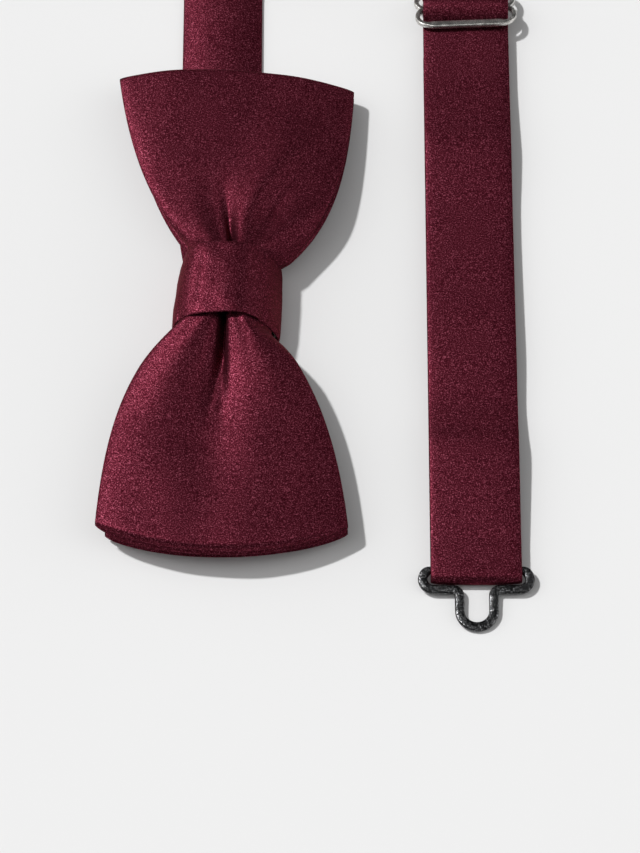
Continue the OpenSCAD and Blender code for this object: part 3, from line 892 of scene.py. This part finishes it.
def make_slider():
    """Flat near and far bars with waisted round ends, and a round middle bar under the strap."""
    pitch, radius, waist = SLIDER_PITCH / 2, SLIDER_END_RADIUS, SLIDER_WAIST_ANGLE
    end_x = (SLIDER_HIGH[0] - SLIDER_LOW[0]) / 2 - radius - 0.6
    path = (
        arc((end_x, pitch), radius, -waist, 90, 14) + arc((-end_x, pitch), radius, 90, 180 + waist, 14)
        + arc((-end_x, -pitch), radius, 180 - waist, 270, 14) + arc((end_x, -pitch), radius, -90, waist, 14)
    )
    points = resample(np.array(path), WIRE_STEP)
    straight = ease((end_x + 1.0 - np.abs(points[:, 0])) / 2)
    half_widths = SLIDER_WIRE_HALF + SLIDER_BAR_GAIN * straight
    frame_ring = skin("slider_frame", slider_ring(points, half_widths), BRIGHT_NICKEL, closed=True)
    finish_piece(frame_ring, "slider", "nickel", "slider")
    outline = wire_section(METAL, METAL)
    bar = [
        lay_slider(np.stack([np.full(len(outline), x), outline[:, 0]], 1), outline[:, 1])
        for x in np.linspace(-end_x - 1.6, end_x + 1.6, 20)
    ]
    middle = skin("slider_middle_bar", bar, BRIGHT_NICKEL)
    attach(middle, "slider")


# ---------------------------------------------------------------- stitches

STITCHES = 15
STITCH_HALF, STITCH_LEAN = 0.7, 0.35
STITCH_THREAD = 0.22  # its thickness, and how far it stands up


def make_bar_tack(name, body, node):
    """A dense row of small thread loops over the stitches' own box, leaning to each side in turn."""
    low, high = box_mm(node)
    y, z = (low[1] + high[1]) / 2, low[2]
    outline = wire_section(STITCH_THREAD, STITCH_THREAD, THREAD_SIDES)
    t = np.linspace(0, math.pi, 9)
    faces, points = [], []
    for i in range(STITCHES):
        x = low[0] + (high[0] - low[0]) * (i + 0.5) / STITCHES
        lean = STITCH_LEAN if i % 2 else -STITCH_LEAN
        over, up = np.cos(t), np.sin(t)
        centres = np.stack([x + lean * over, y + STITCH_HALF * over, z + STITCH_THREAD * up], 1)
        rings = sweep(centres, (0.9, -0.4 * np.sign(lean), 0.0), lambda k: outline)
        faces += ring_faces(len(points), len(rings), THREAD_SIDES)
        faces += end_faces(len(points), len(rings), THREAD_SIDES)
        points.extend(rings.reshape(-1, 3).tolist())
    tack = add_mesh(name, points, faces, THREAD)
    finish_piece(tack, body, "sewing_thread", node)


def dress_closing_stitches():
    """The CAD stitches at the back of the knot keep their shape, and get the thread's material."""
    data = frame["nodes"]["knot_closing_stitches"].data
    data.materials.clear()
    data.materials.append(THREAD)


# ---------------------------------------------------------------- floor, light and camera

# Where the room is dark: as seen mirrored in the flat satin, and low down on the viewer's side
DARK_SKY = (0.15, 0.72, 0.68)
DARK_FRONT = (0.0, -0.97, 0.24)


def darkening(nodes, links, centre, start, stop, low):
    """1 away from a direction of the room, and low near it."""
    direction = nodes.new("ShaderNodeTexCoord")
    facing = nodes.new("ShaderNodeVectorMath")
    facing.operation = "DOT_PRODUCT"
    facing.inputs[1].default_value = centre
    shade = nodes.new("ShaderNodeMapRange")
    shade.interpolation_type = "SMOOTHSTEP"
    for socket, value in (("From Min", start), ("From Max", stop), ("To Min", 1.0), ("To Max", low)):
        shade.inputs[socket].default_value = value
    links.new(direction.outputs["Generated"], facing.inputs[0])
    links.new(facing.outputs["Value"], shade.inputs["Value"])
    return shade.outputs["Result"]


def make_stage():
    bpy.ops.mesh.primitive_plane_add(size=4, location=(0, 0, 0))
    floor = bpy.context.object
    floor.name = "floor"
    material, nodes, links, shader = new_material("pale_floor")
    shader.inputs["Base Color"].default_value = (0.78, 0.78, 0.78, 1)
    shader.inputs["Roughness"].default_value = 0.9
    shader.inputs["Specular IOR Level"].default_value = 0.1
    floor.data.materials.append(material)

    world = bpy.data.worlds.new("studio")
    world.use_nodes = True
    nodes, links = world.node_tree.nodes, world.node_tree.links
    far_dark = darkening(nodes, links, DARK_SKY, 0.42, 0.96, 0.02)
    front_dark = darkening(nodes, links, DARK_FRONT, 0.25, 0.85, 0.05)
    links.new(mix(nodes, links, 1.0, far_dark, front_dark, "MULTIPLY"), nodes["Background"].inputs["Color"])
    nodes["Background"].inputs["Strength"].default_value = 1.15
    bpy.context.scene.world = world

    key = bpy.data.objects.new("key", bpy.data.lights.new("key", "SUN"))
    key.data.energy = 2.5
    key.data.angle = math.radians(3.5)
    towards = Vector((-0.65, 0.28, 1.0))
    key.rotation_euler = towards.to_track_quat("Z", "Y").to_euler()
    bpy.context.scene.collection.objects.link(key)
    bpy.context.scene.view_settings.view_transform = "Standard"


def make_camera():
    """A long lens, high over the near end of the bow. Lengths are in metres."""
    elevation = math.radians(62)
    distance = 0.900
    target = Vector((20.5 * MM, -28.6 * MM, 0))
    camera = bpy.data.objects.new("camera", bpy.data.cameras.new("camera"))
    camera.data.sensor_width = 36
    camera.data.lens = 171.4
    camera.data.clip_start = 0.05
    back = Vector((0, -math.cos(elevation), math.sin(elevation)))
    camera.location = target + back * distance
    camera.rotation_euler = back.to_track_quat("Z", "Y").to_euler()
    bpy.context.scene.collection.objects.link(camera)
    bpy.context.scene.camera = camera


make_camera()
make_stage()
make_knot()
make_waist_thread()
make_bow()
make_neck_strap()
make_right_runs()
make_eye()
make_hook()
make_slider()
make_bar_tack("hook_tack", ROOT, "hook_bar_tack")
make_bar_tack("slider_tack", "slider", "slider_bar_tack")
dress_closing_stitches()
